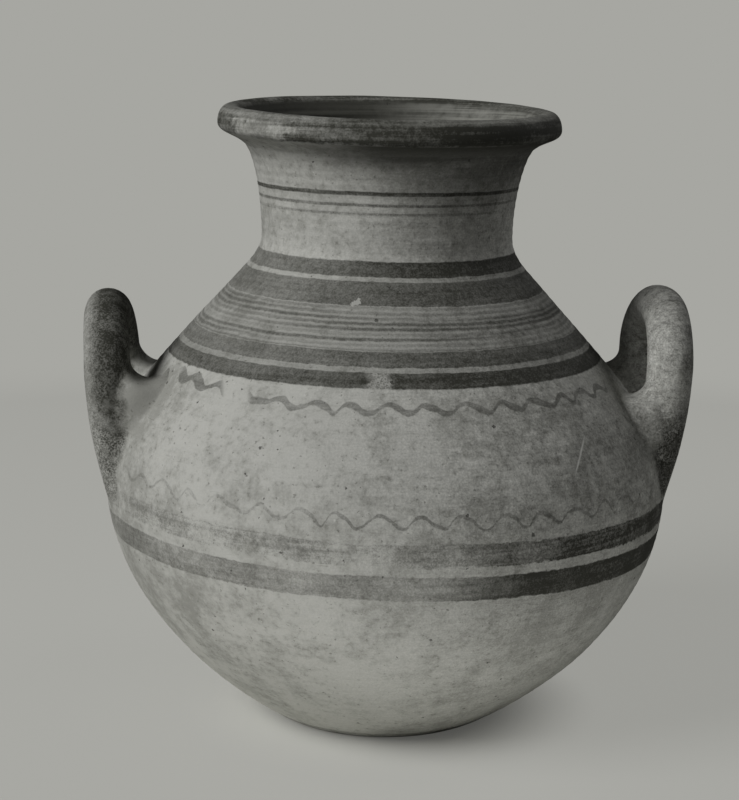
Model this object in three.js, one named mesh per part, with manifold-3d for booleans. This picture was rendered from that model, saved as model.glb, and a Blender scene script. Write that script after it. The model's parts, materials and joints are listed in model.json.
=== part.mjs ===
// Two-handled jar of fired clay. A bowl and a shoulder meet at the girth, a flared neck carries a
// thick rolled lip, and two upright loop handles are luted to the shoulder with pressed clay.
// Millimetres, +Z up. The jar rests on z = 0, and its handles lie on the X axis.

import * as THREE from "three";
import { mergeVertices } from "three/addons/utils/BufferGeometryUtils.js";
import Module from "manifold-3d";

const wasm = await Module();
wasm.setup();

// Clay wall, and the film of slip between luted pieces
const WALL = 7;
const SLIP = 0.3;

// Base disc: its edge carries the foot of the wall, round a raised floor
const BASE_RADIUS = 69;
const BASE_EDGE = 6;
const FLOOR = 9;
const FOOT_WIDTH = 9;

// Lower bowl: the angle at which it leaves the base, and how fully it swells to the girth
const FLARE_ANGLE = 31;
const FLARE_PULL = 50;
const BELLY_PULL = 68.5;
const GIRTH_RADIUS = 172.3;
const GIRTH_HEIGHT = 146;

// Shoulder: it turns in above the girth and runs straight up to the root of the neck
const SHOULDER_RISE = 131;
const SHOULDER_PULL = 41.5;
const SHOULDER_LENGTH = 90;
const SHOULDER_ANGLE = 48;
const ROOT_RADIUS = 85.8;

// Neck: a fillet at its root, a waist, and a flare under the lip
const ROOT_PULL = 8;
const WAIST_PULL = 7;
const WAIST_RISE = 19.7;
const WAIST_RADIUS = 76.3;
const NECK_PULL = 22;
const NECK_RISE = 55.2;
const NECK_TOP_RADIUS = 88.1;
const NECK_TOP_ANGLE = 40;
const NECK_TOP_PULL = 9;

// Lip: a thick rim that carries on the neck's flare, stands up to a blunt face and falls into the mouth
const LIP_RADIUS = 103.8;
const LIP_BELLY_RISE = 11;
const LIP_CROWN_RISE = 21.6;
const LIP_CROWN_RADIUS = 95.5;
const LIP_ROUNDING = 5;
const LIP_UNDER_PULL = 10;
const LIP_CROWN_PULL = 6;
const MOUTH_RADIUS = 86.4;
const MOUTH_RISE = 15;
const MOUTH_ANGLE = 58;
const MOUTH_PULL = 4;
const THROAT_ANGLE = 78;
const THROAT_PULL = 8;

// Lapped joins: the lower edge stands up inside the upper one, and the neck's tongue inside the lip
const LAP_HEIGHT = 8;
const LAP_DEPTH = 3.5;
const GIRTH_JOIN_RISE = 6;
const NECK_JOIN_RISE = 11;
const TONGUE_HEIGHT = 5;
const TONGUE_WIDTH = 3.2;
const TONGUE_INSET = 3.6;

// Loop handles: a round roll whose two legs, a width apart, rise off the belly and meet in an arch
const HANDLE_THICKNESS = 27.2;
const HANDLE_WIDTH = 90;
const HANDLE_FOOT_DROP = 20;
const HANDLE_FOOT_COVER = 1.5;
const HANDLE_SPRING_RISE = 74;
const HANDLE_SPRING_INSET = 5;
const HANDLE_ARCH_RISE = 30.5;
const HANDLE_TOP_INSET = 2.5;
const LEG_HOLD = 0.36;
const ARC_HOLD = 0.5523;

// Clay pressed into the angle between each leg and the shoulder, and hollowed by a fingertip
const LUTE_WIDTH = 34;
const LUTE_HEIGHT = 52;
const LUTE_DEPTH = 44;
const FINGER_RADIUS = 11;

// Facets of the round shapes
const TURN_STEPS = 48;
const ROLL_SIDES = 14;
const ROLL_STEPS = 40;

const point = (x, y) => new THREE.Vector2(x, y);
const radians = THREE.MathUtils.degToRad;
const heading = (degrees, length) => point(length, 0).rotateAround(point(0, 0), radians(degrees));

// A smooth stretch of a section, from one point to another, with how far it holds each end's direction
function stretch(from, leave, arrive, to) {
  return new THREE.CubicBezierCurve(from, from.clone().add(leave), to.clone().sub(arrive), to);
}

// Outer section of the jar, radius across and height up, from the base to the seat of the lip
const rootHeight = GIRTH_HEIGHT + SHOULDER_RISE;
const waistHeight = rootHeight + WAIST_RISE;
const seatHeight = waistHeight + NECK_RISE;
const basePoint = point(BASE_RADIUS, 0);
const girthPoint = point(GIRTH_RADIUS, GIRTH_HEIGHT);
const rootPoint = point(ROOT_RADIUS, rootHeight);
const waistPoint = point(WAIST_RADIUS, waistHeight);
const seatPoint = point(NECK_TOP_RADIUS, seatHeight);
const shoulderSlope = 180 - SHOULDER_ANGLE;
const flare = heading(FLARE_ANGLE, FLARE_PULL);
const shoulderEnd = heading(shoulderSlope, SHOULDER_LENGTH);
const rootFillet = heading(shoulderSlope, ROOT_PULL);
const neckFlare = heading(NECK_TOP_ANGLE, NECK_TOP_PULL);
const sections = [
  { steps: 12, curve: stretch(basePoint, flare, point(0, BELLY_PULL), girthPoint) },
  { steps: 12, curve: stretch(girthPoint, point(0, SHOULDER_PULL), shoulderEnd, rootPoint) },
  { steps: 5, curve: stretch(rootPoint, rootFillet, point(0, WAIST_PULL), waistPoint) },
  { steps: 7, curve: stretch(waistPoint, point(0, NECK_PULL), neckFlare, seatPoint) },
];

// The outer section, moved inwards along its normal
function wallLine(inset) {
  const line = [];
  sections.forEach(({ steps, curve }, index) => {
    for (let step = index === 0 ? 0 : 1; step <= steps; step += 1) {
      const tangent = curve.getTangent(step / steps);
      const normal = point(tangent.y, -tangent.x);
      line.push(curve.getPoint(step / steps).addScaledVector(normal, -inset));
    }
  });
  return line;
}

// Where a rising line first reaches a height ("y") or a radius ("x")
function reach(line, axis, value) {
  const found = line.findIndex((place) => place[axis] >= value);
  const upper = found < 0 ? line.length - 1 : Math.max(found, 1);
  const low = line[upper - 1];
  const high = line[upper];
  return low.clone().lerp(high, (value - low[axis]) / (high[axis] - low[axis]));
}

// The part of a rising line between two heights
function between(line, bottom, top) {
  const least = SLIP;
  const inside = line.filter((place) => place.y > bottom + least && place.y < top - least);
  return [reach(line, "y", bottom), ...inside, reach(line, "y", top)];
}

// Solid turned from a closed section: outside going up, inside coming down
function turned(section) {
  const geometry = new THREE.LatheGeometry([...section, section[0].clone()], TURN_STEPS);
  return geometry.rotateX(Math.PI / 2);
}

const outer = wallLine(0);
const inner = wallLine(WALL);
const girthJoin = GIRTH_HEIGHT + GIRTH_JOIN_RISE;
const neckJoin = rootHeight + NECK_JOIN_RISE;
const footInside = reach(outer, "y", BASE_EDGE).x - FOOT_WIDTH;
const girthTongue = reach(outer, "y", girthJoin).x - LAP_DEPTH;
const neckTongue = reach(outer, "y", neckJoin).x - LAP_DEPTH;

// Base disc
function baseDisc() {
  const edge = between(outer, 0, BASE_EDGE);
  const step = [point(footInside, BASE_EDGE), point(footInside, FLOOR)];
  const section = [point(0, 0), ...edge, ...step, point(0, FLOOR)];
  return new THREE.LatheGeometry(section, TURN_STEPS).rotateX(Math.PI / 2);
}

// Lower bowl: its foot stands on the base disc's edge, and its top stands up inside the shoulder
function lowerBody() {
  const foot = BASE_EDGE + SLIP;
  const top = girthJoin + LAP_HEIGHT;
  const insideFoot = reach(inner, "x", footInside + SLIP);
  const inside = between(inner, Math.max(insideFoot.y, foot + SLIP), top);
  return turned([
    ...between(outer, foot, girthJoin),
    point(girthTongue, girthJoin),
    point(girthTongue, top),
    ...inside.reverse(),
    point(footInside + SLIP, foot),
  ]);
}

// Shoulder: it sits over the bowl's top, and its own top stands up inside the neck
function upperBody() {
  const bottom = girthJoin + SLIP;
  const lap = girthJoin + LAP_HEIGHT + SLIP;
  const top = neckJoin + LAP_HEIGHT;
  return turned([
    ...between(outer, bottom, neckJoin),
    point(neckTongue, neckJoin),
    point(neckTongue, top),
    ...between(inner, lap, top).reverse(),
    point(girthTongue + SLIP, lap),
    point(girthTongue + SLIP, bottom),
  ]);
}

// The neck's top, where a tongue stands up inside the lip
const throatRadius = reach(inner, "y", seatHeight).x;
const tongueInside = throatRadius + TONGUE_INSET;
const tongueOutside = tongueInside + TONGUE_WIDTH;

// Neck
function neckWall() {
  const bottom = neckJoin + SLIP;
  const lap = neckJoin + LAP_HEIGHT + SLIP;
  const tip = seatHeight + TONGUE_HEIGHT;
  return turned([
    ...between(outer, bottom, seatHeight),
    point(tongueOutside, seatHeight),
    point(tongueOutside, tip),
    point(tongueInside, tip),
    point(tongueInside, seatHeight),
    ...between(inner, lap, seatHeight).reverse(),
    point(neckTongue + SLIP, lap),
    point(neckTongue + SLIP, bottom),
  ]);
}

// Rolled lip: its underside carries on the neck's flare, and its mouth falls into the throat
function rolledLip() {
  const seat = seatHeight + SLIP;
  const belly = point(LIP_RADIUS, seatHeight + LIP_BELLY_RISE);
  const crown = point(LIP_CROWN_RADIUS, seatHeight + LIP_CROWN_RISE);
  const mouth = point(MOUTH_RADIUS, seatHeight + MOUTH_RISE);
  const throat = point(throatRadius, seat);
  const up = point(0, LIP_ROUNDING);
  const outwards = heading(NECK_TOP_ANGLE, LIP_UNDER_PULL);
  const inwards = point(-LIP_CROWN_PULL, 0);
  const downwards = heading(180 + MOUTH_ANGLE, MOUTH_PULL);
  const under = point(NECK_TOP_RADIUS, seat);
  const underside = stretch(under, outwards, up, belly).getPoints(5);
  const shoulder = stretch(belly, up, inwards, crown).getPoints(4).slice(1);
  const bevel = stretch(crown, inwards, downwards, mouth).getPoints(4).slice(1);
  const fall = stretch(mouth, downwards, heading(180 + THROAT_ANGLE, THROAT_PULL), throat).getPoints(4).slice(1);
  const groove = [
    point(tongueInside - SLIP, seat),
    point(tongueInside - SLIP, seat + TONGUE_HEIGHT),
    point(tongueOutside + SLIP, seat + TONGUE_HEIGHT),
    point(tongueOutside + SLIP, seat),
  ];
  return turned([...underside, ...shoulder, ...bevel, ...fall, ...groove]);
}

// Closed solid of a geometry, with its shared corners merged and its flat triangles left out
function solidOf(geometry) {
  geometry.deleteAttribute("normal");
  geometry.deleteAttribute("uv");
  const merged = mergeVertices(geometry, SLIP / 100);
  const corners = merged.index.array;
  const kept = [];
  for (let at = 0; at < corners.length; at += 3) {
    const [a, b, c] = corners.slice(at, at + 3);
    if (a !== b && b !== c && c !== a) {
      kept.push(a, b, c);
    }
  }
  const vertProperties = new Float32Array(merged.attributes.position.array);
  const triVerts = new Uint32Array(kept);
  return new wasm.Manifold(new wasm.Mesh({ numProp: 3, vertProperties, triVerts }));
}

// Geometry of a solid
function geometryOf(solid) {
  const mesh = solid.getMesh();
  const geometry = new THREE.BufferGeometry();
  geometry.setAttribute("position", new THREE.BufferAttribute(mesh.vertProperties, 3));
  geometry.setIndex(new THREE.BufferAttribute(mesh.triVerts, 1));
  geometry.computeVertexNormals();
  return geometry;
}

// The whole jar without its handles, filled in and grown by the slip, which the handles sit against
const filled = [point(0, -SLIP), ...wallLine(-SLIP), point(0, seatHeight + SLIP)];
const jarSolid = solidOf(new THREE.LatheGeometry(filled, TURN_STEPS).rotateX(Math.PI / 2));

// Centre line of a handle on the +X side
const halfSpan = HANDLE_WIDTH / 2;
const footHeight = GIRTH_HEIGHT - HANDLE_FOOT_DROP;
const footRadius = reach(outer, "y", footHeight).x - HANDLE_THICKNESS / 2 - HANDLE_FOOT_COVER;
const footReach = Math.sqrt(footRadius ** 2 - halfSpan ** 2);
const springHeight = GIRTH_HEIGHT + HANDLE_SPRING_RISE;
const springReach = GIRTH_RADIUS - HANDLE_SPRING_INSET;
const topHeight = springHeight + HANDLE_ARCH_RISE;
const topReach = GIRTH_RADIUS - HANDLE_TOP_INSET;

function handleLeg(side) {
  const foot = new THREE.Vector3(footReach, side * halfSpan, footHeight);
  const spring = new THREE.Vector3(springReach, side * halfSpan, springHeight);
  const rise = springHeight - footHeight;
  const lean = (springReach - footReach) * LEG_HOLD;
  const low = foot.clone().add(new THREE.Vector3(lean * 1.5, 0, rise * LEG_HOLD));
  const high = spring.clone().add(new THREE.Vector3(-lean * 0.2, 0, -rise * LEG_HOLD));
  return new THREE.CubicBezierCurve3(foot, low, high, spring);
}

function handleArch(side) {
  const spring = new THREE.Vector3(springReach, side * halfSpan, springHeight);
  const top = new THREE.Vector3(topReach, 0, topHeight);
  const low = spring.clone().add(new THREE.Vector3(0, 0, HANDLE_ARCH_RISE * ARC_HOLD));
  const high = top.clone().add(new THREE.Vector3(0, side * halfSpan * ARC_HOLD, 0));
  return new THREE.CubicBezierCurve3(spring, low, high, top);
}

// A curve run backwards
function backwards(curve) {
  return new THREE.CubicBezierCurve3(curve.v3, curve.v2, curve.v1, curve.v0);
}

// Round roll of clay bent along the handle's centre line
function handleRoll(radius) {
  const line = new THREE.CurvePath();
  line.add(handleLeg(-1));
  line.add(handleArch(-1));
  line.add(backwards(handleArch(1)));
  line.add(backwards(handleLeg(1)));
  const ring = Array.from({ length: ROLL_SIDES }, (_, index) => heading((360 * index) / ROLL_SIDES, radius));
  return new THREE.ExtrudeGeometry(new THREE.Shape(ring), { steps: ROLL_STEPS, extrudePath: line });
}

// Height at which a leg's inner side stands off the shoulder by a gap
function legClearHeight(gap) {
  const leg = handleLeg(1);
  const steps = 100;
  for (let step = 0; step <= steps; step += 1) {
    const centre = leg.getPoint(step / steps);
    if (centre.x - HANDLE_THICKNESS / 2 - gap > wallReach(centre.z)) {
      return centre.z;
    }
  }
  return springHeight;
}

// How far out the wall lies along X, in the plane of a handle's leg
function wallReach(height) {
  return Math.sqrt(Math.max(reach(outer, "y", height).x ** 2 - halfSpan ** 2, 0));
}

// Pressed clay at one leg, shaped by the wall and the roll that it is pressed between
function pressedClay(side) {
  const height = legClearHeight(0);
  const lump = new THREE.SphereGeometry(0.5, 20, 14);
  lump.scale(LUTE_DEPTH, LUTE_WIDTH, LUTE_HEIGHT);
  lump.translate(wallReach(height), side * halfSpan, height);
  const across = FINGER_RADIUS * (1 + 1 / Math.sin(radians(SHOULDER_ANGLE)));
  const hollow = legClearHeight(across);
  const finger = new THREE.CylinderGeometry(FINGER_RADIUS, FINGER_RADIUS, LUTE_WIDTH * 2, 20);
  finger.translate(wallReach(hollow) + across - FINGER_RADIUS, side * halfSpan, hollow);
  return solidOf(lump)
    .subtract(solidOf(finger))
    .subtract(solidOf(handleRoll(HANDLE_THICKNESS / 2 + SLIP)))
    .subtract(jarSolid);
}

// A part at one side of the jar: the left one is the right one turned half round
function addPiece(group, name, geometry, colour, turn = 0) {
  const material = new THREE.MeshStandardMaterial({ color: colour, roughness: 0.85, metalness: 0 });
  const mesh = new THREE.Mesh(geometry, material);
  mesh.name = name;
  mesh.rotation.z = turn;
  group.add(mesh);
}

const PALE_CLAY = 0x92928c;
const PALE_SLIP = 0x9f9f99;
const PAINTED_SLIP = 0x8a8c85;
const DARK_PAINT = 0x52524a;
const WORN_PAINT = 0x72736c;

const jar = new THREE.Group();
addPiece(jar, "base_disc", baseDisc(), PALE_CLAY);
addPiece(jar, "lower_body", lowerBody(), PALE_SLIP);
addPiece(jar, "upper_body", upperBody(), PAINTED_SLIP);
addPiece(jar, "neck", neckWall(), PALE_SLIP);
addPiece(jar, "lip", rolledLip(), DARK_PAINT);

const handle = geometryOf(solidOf(handleRoll(HANDLE_THICKNESS / 2)).subtract(jarSolid));
const frontClay = geometryOf(pressedClay(-1));
const backClay = geometryOf(pressedClay(1));
addPiece(jar, "handle_right", handle, WORN_PAINT);
addPiece(jar, "lute_right_front", frontClay, PALE_SLIP);
addPiece(jar, "lute_right_back", backClay, PALE_SLIP);
addPiece(jar, "handle_left", handle.clone(), WORN_PAINT, Math.PI);
addPiece(jar, "lute_left_front", backClay.clone(), PALE_SLIP, Math.PI);
addPiece(jar, "lute_left_back", frontClay.clone(), PALE_SLIP, Math.PI);

export default jar;
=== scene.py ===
# Painted two-handled storage jar of fired clay, dressed over its solids. Metres, +Z up.
import json
import math

import bpy
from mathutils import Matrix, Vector, kdtree
from mathutils.geometry import interpolate_bezier

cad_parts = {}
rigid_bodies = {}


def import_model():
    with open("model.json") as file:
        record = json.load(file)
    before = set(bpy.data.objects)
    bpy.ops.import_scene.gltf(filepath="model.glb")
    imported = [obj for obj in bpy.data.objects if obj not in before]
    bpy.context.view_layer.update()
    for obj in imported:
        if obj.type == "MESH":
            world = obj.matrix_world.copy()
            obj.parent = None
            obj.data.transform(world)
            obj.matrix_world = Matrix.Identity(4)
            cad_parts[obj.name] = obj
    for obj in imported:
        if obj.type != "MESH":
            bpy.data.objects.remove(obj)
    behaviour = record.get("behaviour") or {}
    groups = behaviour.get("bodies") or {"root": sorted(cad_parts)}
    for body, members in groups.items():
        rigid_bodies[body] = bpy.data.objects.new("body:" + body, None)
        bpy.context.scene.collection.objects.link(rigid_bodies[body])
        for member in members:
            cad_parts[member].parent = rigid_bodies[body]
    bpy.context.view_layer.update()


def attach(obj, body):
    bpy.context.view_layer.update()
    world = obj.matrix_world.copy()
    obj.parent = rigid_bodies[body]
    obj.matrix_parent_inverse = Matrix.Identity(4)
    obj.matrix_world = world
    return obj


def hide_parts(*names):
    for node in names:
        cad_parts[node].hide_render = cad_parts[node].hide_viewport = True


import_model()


# Base disc. The flat pat of clay that the jar was built up on. Its edge carries the foot of the
# wall, and its raised middle is the floor of the jar. Unglazed, and rubbed where it stands.

MM = 0.001
BASE_RADIUS = 69
BASE_EDGE = 6
BASE_ROUNDING = 1.6
FLOOR = 9
FOOT_WIDTH = 9
FLOOR_RINGS = 12
GIRTH_RADIUS = 172.3
GIRTH_HEIGHT = 146
ROOT_RADIUS = 85.8
ROOT_HEIGHT = 277
WAIST_RADIUS = 76.3
WAIST_HEIGHT = 296.7
SEAT_RADIUS = 88.1
SEAT_HEIGHT = 351.9
BASE_FLARE = (31, 50)
GIRTH_BELOW = (90, 68.5)
GIRTH_ABOVE = (90, 41.5)
SHOULDER_END = (132, 90)
ROOT_FILLET = (132, 8)
WAIST_BELOW = (90, 7)
WAIST_ABOVE = (90, 22)
NECK_FLARE = (40, 9)
BOWL_POINTS = 95
SHOULDER_POINTS = 85
ROOT_POINTS = 14
NECK_POINTS = 56
WHEEL_MARK = 0.09
WHEEL_PITCH = 5.3
WHEEL_STEPS = 288
LEAST_STEP = 0.2 * MM
DOUBLES = 0.005 * MM
SHARP = math.radians(38)
FULL_TURN = 2 * math.pi
BARE_CLAY = (0.34, 0.34, 0.315, 1)
BARE_STAIN = (0.17, 0.17, 0.15, 1)
BARE_DIRT = 0.7


def at(radius, height):
    """A point of the jar's section, from millimetres."""
    return Vector((radius * MM, 0, height * MM))


def heading(angle, length):
    """A way along the section, from degrees above level and millimetres."""
    turn = math.radians(angle)
    return at(length * math.cos(turn), length * math.sin(turn))


def drawn(start, leave, arrive, end, points):
    """A smooth stretch of the section, with the way it leaves one end and comes to the other."""
    return interpolate_bezier(start, start + heading(*leave), end - heading(*arrive), end, points)


def set_in(line, depth):
    """The line moved into the clay, by a depth that may change along it."""
    moved = []
    for index, point in enumerate(line):
        along = line[min(index + 1, len(line) - 1)] - line[max(index - 1, 0)]
        into = Vector((-along.z, 0, along.x)).normalized()
        moved.append(point + into * depth(point))
    return moved


def wheel_mark(point):
    """Depth of the shallow rings that fingers leave in turning clay."""
    return WHEEL_MARK * MM * math.sin(FULL_TURN * point.z / (WHEEL_PITCH * MM))


def crossing(line, height):
    """Where a rising line passes a height."""
    for below, above in zip(line, line[1:]):
        if below.z <= height <= above.z and above.z > below.z:
            return below.lerp(above, (height - below.z) / (above.z - below.z))
    return line[-1].copy()


def between(line, low, high):
    """The part of a rising line between two heights."""
    inside = [point for point in line if low + LEAST_STEP < point.z < high - LEAST_STEP]
    return [crossing(line, low), *inside, crossing(line, high)]


def turn_on_wheel(name, section):
    """A piece turned from its section, drawn point by point, once round the jar's axis."""
    bpy.ops.object.select_all(action="DESELECT")
    bpy.ops.mesh.primitive_plane_add(size=MM)
    piece = bpy.context.object
    piece.name = name
    bpy.ops.object.mode_set(mode="EDIT")
    bpy.ops.mesh.merge(type="CENTER")
    bpy.ops.transform.translate(value=section[0])
    for start, end in zip(section, section[1:]):
        bpy.ops.mesh.extrude_vertices_move(TRANSFORM_OT_translate={"value": end - start})
    bpy.ops.mesh.select_all(action="SELECT")
    bpy.ops.mesh.spin(steps=WHEEL_STEPS, angle=FULL_TURN, center=(0, 0, 0), axis=(0, 0, 1))
    bpy.ops.mesh.select_all(action="SELECT")
    bpy.ops.mesh.remove_doubles(threshold=DOUBLES)
    bpy.ops.mesh.normals_make_consistent(inside=False)
    bpy.ops.object.mode_set(mode="OBJECT")
    bpy.ops.object.shade_smooth_by_angle(angle=SHARP)
    return piece


def set_on(piece, node, material):
    """The piece gets its finish, stands for its solid and stays with the jar."""
    piece.data.materials.clear()
    piece.data.materials.append(material)
    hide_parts(node)
    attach(piece, "root")


class Recipe:
    """The nodes of one finish, each fed by what it is mixed from."""

    def __init__(self, tree):
        self.tree = tree

    def add(self, kind, inputs=None, **settings):
        node = self.tree.nodes.new(kind)
        for name, value in settings.items():
            setattr(node, name, value)
        for name, value in (inputs or {}).items():
            self.feed(node.inputs[name], value)
        return node

    def feed(self, socket, value):
        if isinstance(value, bpy.types.NodeSocket):
            self.tree.links.new(value, socket)
        else:
            socket.default_value = value

    def sum(self, operation, *terms):
        return self.add("ShaderNodeMath", dict(enumerate(terms)), operation=operation).outputs[0]

    def vector(self, operation, *terms):
        inputs = dict(enumerate(terms))
        return self.add("ShaderNodeVectorMath", inputs, operation=operation).outputs

    def plus(self, first, *others):
        for other in others:
            first = self.sum("ADD", first, other)
        return first

    def times(self, first, *others):
        for other in others:
            first = self.sum("MULTIPLY", first, other)
        return first

    def most(self, first, *others):
        for other in others:
            first = self.sum("MAXIMUM", first, other)
        return first

    def weighed(self, *shares):
        return self.plus(*[self.times(value, share) for value, share in shares])

    def rest_of(self, mask):
        return self.plus(self.times(mask, -1.0), 1.0)

    def about_zero(self, value):
        return self.plus(value, -0.5)

    def distance(self, along, across):
        squares = self.plus(self.times(along, along), self.times(across, across))
        return self.sum("SQRT", squares)

    def ramp(self, value, low, high, start=0.0, end=1.0):
        limits = {"Value": value, "From Min": low, "From Max": high, "To Min": start, "To Max": end}
        return self.add("ShaderNodeMapRange", limits, interpolation_type="SMOOTHSTEP").outputs[0]

    def noise(self, place, scale, detail=2.0, roughness=0.5):
        inputs = {"Vector": place, "Scale": scale, "Detail": detail, "Roughness": roughness}
        return self.add("ShaderNodeTexNoise", inputs).outputs[0]

    def stretched(self, place, scales):
        return self.add("ShaderNodeMapping", {"Vector": place, "Scale": scales}).outputs[0]

    def parts(self, vector):
        return self.add("ShaderNodeSeparateXYZ", {"Vector": vector}).outputs

    def blend(self, factor, first, second, blend_type="MIX"):
        inputs = {0: factor, 6: first, 7: second}
        node = self.add("ShaderNodeMix", inputs, data_type="RGBA", blend_type=blend_type)
        return node.outputs[2]

    def use(self, effect, inputs):
        return self.add("ShaderNodeGroup", inputs, node_tree=effect).outputs


def shared_effect(name, takes, gives):
    """A node group with named inputs and outputs, and the recipe that fills it."""
    group = bpy.data.node_groups.new(name, "ShaderNodeTree")
    kinds = {"colour": "NodeSocketColor", "vector": "NodeSocketVector", "value": "NodeSocketFloat"}
    for socket, kind in takes.items():
        group.interface.new_socket(socket, in_out="INPUT", socket_type=kinds[kind])
    for socket, kind in gives.items():
        group.interface.new_socket(socket, in_out="OUTPUT", socket_type=kinds[kind])
    recipe = Recipe(group)
    given = recipe.add("NodeGroupInput").outputs
    made = recipe.add("NodeGroupOutput").inputs
    return group, recipe, given, made


# fired clay skin: noises have a scale, detail and roughness, and dots a scale, share and two sizes
CLOUD = (11.0, 4.0, 0.55)
SMUDGE = (40.0, 7.0, 0.68)
MOTTLE = (130.0, 6.0, 0.75)
FLECK = (260.0, 4.0, 0.7)
GRAIN = (900.0, 2.0, 0.6)
STREAK_STRETCH = (11, 11, 230)
DASH_STRETCH = (70, 70, 900)
HAIR_STRETCH = (60, 60, 150)
HAIR_WIDTH = (0.012, 0.003)
HAIR_PATCHES = (17.0, 3.0)
RAGGED_SIZE = 700.0
RAGGED_EDGE = 2.2 * MM
PIT = (110.0, 0.40, 0.04, 0.13)
MOTE = (300.0, 0.40, 0.08, 0.22)
GRIT = (200.0, 0.30, 0.05, 0.15)
NICK = (1.0, 0.10, 0.03, 0.08)
NICK_STRETCH = (150, 150, 14)
NICK_SLANT = (0.35, -0.32, 0.2)
PIT_COLOUR = (0.035, 0.035, 0.028, 1)
MOTE_COLOUR = (0.09, 0.09, 0.075, 1)
GRIT_COLOUR = (0.58, 0.58, 0.54, 1)
NICK_COLOUR = (0.50, 0.50, 0.47, 1)


def dots(mix, place, scale, share, least, most):
    """Mask of scattered dots, of which a share shows, between two sizes."""
    cells = mix.add("ShaderNodeTexVoronoi", {"Vector": place, "Scale": scale}).outputs
    lot = mix.add("ShaderNodeSeparateColor", {"Color": cells["Color"]}).outputs
    reach = mix.plus(mix.times(lot[1], most - least), least)
    shown = mix.ramp(lot[0], 1.0 - share, 1.01 - share)
    return mix.times(mix.ramp(mix.sum("DIVIDE", cells["Distance"], reach), 1.1, 0.7), shown)


weathered_slip, mix, given, made = shared_effect(
    "Weathered slip",
    {"Place": "vector", "Pale": "colour", "Stain": "colour", "Dirt": "value"},
    {"Colour": "colour", "Roughness": "value", "Height": "value"},
)
place = given["Place"]
x, _, z = mix.parts(place)
cloud = mix.noise(place, *CLOUD)
smudge = mix.noise(place, *SMUDGE)
mottle = mix.noise(place, *MOTTLE)
fleck = mix.noise(place, *FLECK)
grain = mix.noise(place, *GRAIN)
streak = mix.noise(mix.stretched(place, STREAK_STRETCH), 1.0, 3.0)
dash = mix.noise(mix.stretched(place, DASH_STRETCH), 1.0, 3.0, 0.6)

# stains settle in clouds, specks and short dashes along the turning
tone = mix.weighed((cloud, 0.22), (smudge, 0.32), (streak, 0.06), (mottle, 0.28), (fleck, 0.12))
tone = mix.plus(tone, mix.times(given["Dirt"], 0.1), -0.05)
dirt = mix.plus(
    mix.ramp(tone, 0.44, 0.60, 0.0, 0.75),
    mix.ramp(fleck, 0.58, 0.74, 0.0, 0.35),
    mix.ramp(dash, 0.62, 0.74, 0.0, 0.3),
)
colour = mix.blend(dirt, given["Pale"], given["Stain"])

# the right side is more worn than the left, and the shoulder more than the bowl
wear = mix.times(mix.ramp(x, -0.10, 0.09, 0.3, 2.3), mix.ramp(z, 0.08, 0.16, 0.7, 1.0))
right = mix.ramp(x, 0.0, 0.10, 0.0, -0.4)
grime = mix.times(mix.about_zero(smudge), right, mix.ramp(z, 0.11, 0.16))
side = mix.times(mix.ramp(x, -0.06, 0.10), mix.ramp(z, 0.11, 0.16, 0.3, -1.1))
spots = mix.plus(mix.weighed((fleck, 0.5), (mottle, 0.44)), -0.47)
spots = mix.times(spots, mix.plus(side, 0.3))
detail = mix.plus(mix.weighed((grain, 0.55), (dash, 0.28)), -0.415)
shade = mix.plus(mix.times(detail, wear), spots, grime, 1.0)
colour = mix.blend(1.0, colour, shade, "MULTIPLY")

# hair cracks, motes, nicks, grits and pits
drawn_out = mix.noise(mix.stretched(place, HAIR_STRETCH), 1.0, 4.0, 0.6)
hair = mix.times(
    mix.ramp(mix.sum("ABSOLUTE", mix.about_zero(drawn_out)), *HAIR_WIDTH),
    mix.ramp(mix.noise(place, *HAIR_PATCHES), 0.46, 0.62),
    mix.ramp(x, 0.0, 0.09),
)
noise = {"Vector": place, "Scale": RAGGED_SIZE, "Detail": 1.0}
ragged = mix.add("ShaderNodeTexNoise", noise).outputs[1]
broken = mix.vector("ADD", place, mix.vector("MULTIPLY", ragged, (RAGGED_EDGE,) * 3)[0])[0]
slanted = mix.add("ShaderNodeMapping", {"Vector": place, "Rotation": NICK_SLANT}).outputs[0]
pit = dots(mix, broken, *PIT)
mote = dots(mix, broken, *MOTE)
grit = dots(mix, broken, *GRIT)
nick = dots(mix, mix.stretched(slanted, NICK_STRETCH), *NICK)
for cover, mark in (
    (mix.weighed((mote, 0.5), (hair, 0.32)), MOTE_COLOUR),
    (mix.times(nick, mix.ramp(x, -0.04, 0.08, 0.3, 0.6)), NICK_COLOUR),
    (mix.times(grit, 0.5), GRIT_COLOUR),
    (mix.times(pit, 0.75), PIT_COLOUR),
):
    colour = mix.blend(cover, colour, mark)
relief = ((grain, 0.3), (fleck, 0.5), (streak, 0.4), (smudge, 0.9))
marks = ((pit, -0.9), (nick, -0.25), (hair, -0.3), (grit, 0.25))
mix.feed(made["Colour"], colour)
mix.feed(made["Roughness"], mix.plus(mix.times(fleck, 0.25), 0.66))
mix.feed(made["Height"], mix.weighed(*relief, *marks))

BUMP_DEPTH = 0.5 * MM
BUMP_STRENGTH = 0.75
SHEEN_LEVEL = 0.28


def start_finish(name):
    """A new material, its recipe, where a point lies on the jar and which way it faces."""
    material = bpy.data.materials.new(name)
    material.use_nodes = True
    recipe = Recipe(material.node_tree)
    coordinates = recipe.add("ShaderNodeTexCoord").outputs
    return material, recipe, coordinates["Object"], coordinates["Normal"]


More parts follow.
